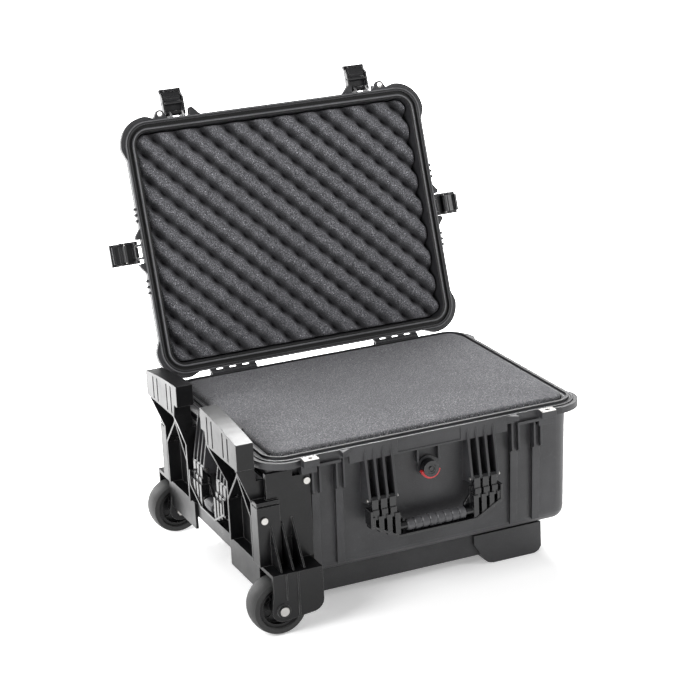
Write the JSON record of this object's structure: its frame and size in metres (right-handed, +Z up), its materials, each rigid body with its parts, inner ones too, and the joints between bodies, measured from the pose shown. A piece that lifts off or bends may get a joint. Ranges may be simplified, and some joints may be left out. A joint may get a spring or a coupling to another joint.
{
  "type": "wheeled hard equipment case",
  "caption": "Hard equipment case standing open on a bolted wheel kit: hinged lid, over-centre latches, foam lining, drop handles, pull-out trolley handle and padlock lugs.",
  "frame": {"origin": "on the floor under the middle of the bounding box, lid open", "axes": "+X along the length from the wheels to the feet, -Y out of the latched front, +Z up"},
  "size_m": [0.714, 0.7355, 0.8],
  "materials": {
    "shell": "fine moulded texture",
    "kit": "semi-gloss moulding",
    "foam": "open-cell polyurethane foam, charcoal",
    "rubber": "matt seal rubber",
    "grip": "ribbed over-moulded rubber",
    "tyre": "smooth solid rubber",
    "steel": "stainless, brushed",
    "alloy": "satin tube",
    "red": "red sealing ring"
  },
  "bodies": {
    "base": {"base_shell": "shell", "base_foam_top": "foam", "base_foam_middle": "foam", "base_foam_pad": "foam", "base_padlock_plates": "steel", "hinge_pins": "steel", "valve_body": "kit", "valve_ring": "red", "valve_core": "kit", "front_handle_pins": "steel", "side_handle_pins": "steel", "under_tray": "shell", "trolley_sleeves": "alloy", "front_tower": "kit", "rear_tower": "kit", "kit_cross_member": "kit", "kit_screws": "steel", "axle_bolts": "steel", "axle_nuts": "steel", "front_foot": "shell", "rear_foot": "shell"},
    "lid": {"lid_shell": "shell", "lid_gasket": "rubber", "lid_foam": "foam", "lid_padlock_sleeves": "steel", "latch_pins": "steel"},
    "front_left_latch_lever": {"front_left_lever": "kit", "front_left_claw_pin": "steel"},
    "front_left_latch_claw": {"front_left_claw": "kit"},
    "front_right_latch_lever": {"front_right_lever": "kit", "front_right_claw_pin": "steel"},
    "front_right_latch_claw": {"front_right_claw": "kit"},
    "left_latch_lever": {"left_lever": "kit", "left_claw_pin": "steel"},
    "left_latch_claw": {"left_claw": "kit"},
    "right_latch_lever": {"right_lever": "kit", "right_claw_pin": "steel"},
    "right_latch_claw": {"right_claw": "kit"},
    "front_handle": {"front_handle_bail": "shell", "front_handle_grip": "grip"},
    "side_handle": {"side_handle_bail": "shell", "side_handle_grip": "grip"},
    "trolley": {"trolley_tubes": "alloy", "trolley_grip": "shell"},
    "trolley_release": {"trolley_button": "kit"},
    "front_wheel": {"front_wheel_hub": "shell", "front_tyre": "tyre", "front_wheel_bearings": "steel"},
    "rear_wheel": {"rear_wheel_hub": "shell", "rear_tyre": "tyre", "rear_wheel_bearings": "steel"}
  },
  "joints": [
    {"name": "lid_hinge", "type": "hinge", "parent": "base", "child": "lid", "pos_m": [0, 0.16304, 0.295], "axis": [-1, 0, 0], "range_deg": [-108, 0]},
    {"name": "front_left_lever_turn", "type": "hinge", "parent": "lid", "child": "front_left_latch_lever", "pos_m": [-0.189, 0.33379, 0.75579], "axis": [-1, 0, 0], "range_deg": [-90, 0]},
    {"name": "front_left_claw_turn", "type": "hinge", "parent": "front_left_latch_lever", "child": "front_left_latch_claw", "pos_m": [-0.189, 0.34187, 0.77419], "axis": [-1, 0, 0], "range_deg": [-7, 0]},
    {"name": "front_right_lever_turn", "type": "hinge", "parent": "lid", "child": "front_right_latch_lever", "pos_m": [0.189, 0.33379, 0.75579], "axis": [-1, 0, 0], "range_deg": [-90, 0]},
    {"name": "front_right_claw_turn", "type": "hinge", "parent": "front_right_latch_lever", "child": "front_right_latch_claw", "pos_m": [0.189, 0.34187, 0.77419], "axis": [-1, 0, 0], "range_deg": [-7, 0]},
    {"name": "left_lever_turn", "type": "hinge", "parent": "lid", "child": "left_latch_lever", "pos_m": [-0.31, 0.25777, 0.52183], "axis": [0, -0.309, -0.9511], "range_deg": [-90, 0]},
    {"name": "left_claw_turn", "type": "hinge", "parent": "left_latch_lever", "child": "left_latch_claw", "pos_m": [-0.33, 0.25968, 0.52121], "axis": [0, -0.309, -0.9511], "range_deg": [-7, 0]},
    {"name": "right_lever_turn", "type": "hinge", "parent": "lid", "child": "right_latch_lever", "pos_m": [0.31, 0.25777, 0.52183], "axis": [0, 0.309, 0.9511], "range_deg": [-90, 0]},
    {"name": "right_claw_turn", "type": "hinge", "parent": "right_latch_lever", "child": "right_latch_claw", "pos_m": [0.33, 0.25968, 0.52121], "axis": [0, 0.309, 0.9511], "range_deg": [-7, 0]},
    {"name": "front_handle_swing", "type": "hinge", "parent": "base", "child": "front_handle", "pos_m": [0, -0.32896, 0.197], "axis": [-1, 0, 0], "range_deg": [0, 95]},
    {"name": "side_handle_swing", "type": "hinge", "parent": "base", "child": "side_handle", "pos_m": [-0.311, -0.08196, 0.197], "axis": [0, 1, 0], "range_deg": [0, 95]},
    {"name": "trolley_slide", "type": "slide", "parent": "base", "child": "trolley", "axis": [1, 0, 0], "range_m": [0, 0.38]},
    {"name": "button_press", "type": "slide", "parent": "trolley", "child": "trolley_release", "axis": [-1, 0, 0], "range_m": [0, 0.004], "stiffness_N_per_m": 400},
    {"name": "front_wheel_spin", "type": "hinge", "parent": "base", "child": "front_wheel", "pos_m": [-0.302, -0.33196, 0.05], "axis": [0, 1, 0], "continuous": true},
    {"name": "rear_wheel_spin", "type": "hinge", "parent": "base", "child": "rear_wheel", "pos_m": [-0.302, 0.16804, 0.05], "axis": [0, 1, 0], "continuous": true}
  ]
}
